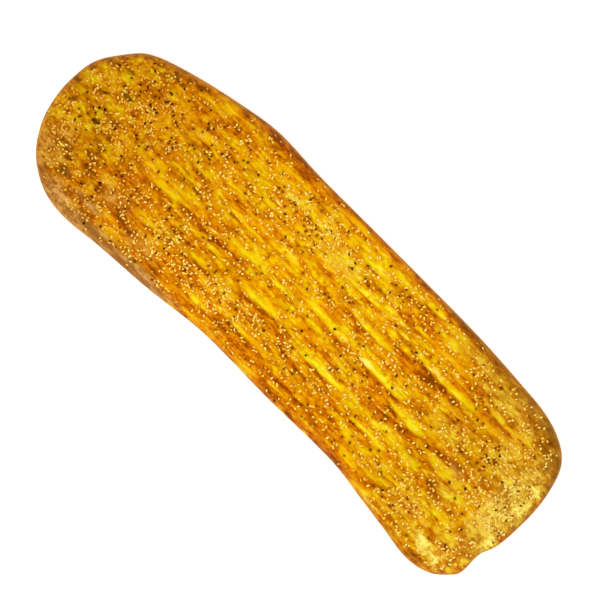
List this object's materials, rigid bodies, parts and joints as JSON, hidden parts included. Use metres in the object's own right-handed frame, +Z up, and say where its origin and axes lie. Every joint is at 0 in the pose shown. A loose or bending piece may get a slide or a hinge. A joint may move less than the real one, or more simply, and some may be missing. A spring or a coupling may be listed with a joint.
{
  "type": "barbari bread",
  "caption": "Long flat loaf of golden brown bread with one rounded and one squarer end, short furrows pressed along its glazed top, and sesame and nigella seeds baked on.",
  "frame": {"origin": "on the table, under the middle of the loaf's bounding box", "axes": "+X along the loaf from its rounded end to its squarer end, +Y across it, +Z up out of the seeded crust"},
  "size_m": [0.7, 0.238, 0.0235],
  "materials": {
    "crust": "glazed golden brown bread crust"
  },
  "bodies": {
    "root": {"bread": "crust"}
  },
  "joints": []
}
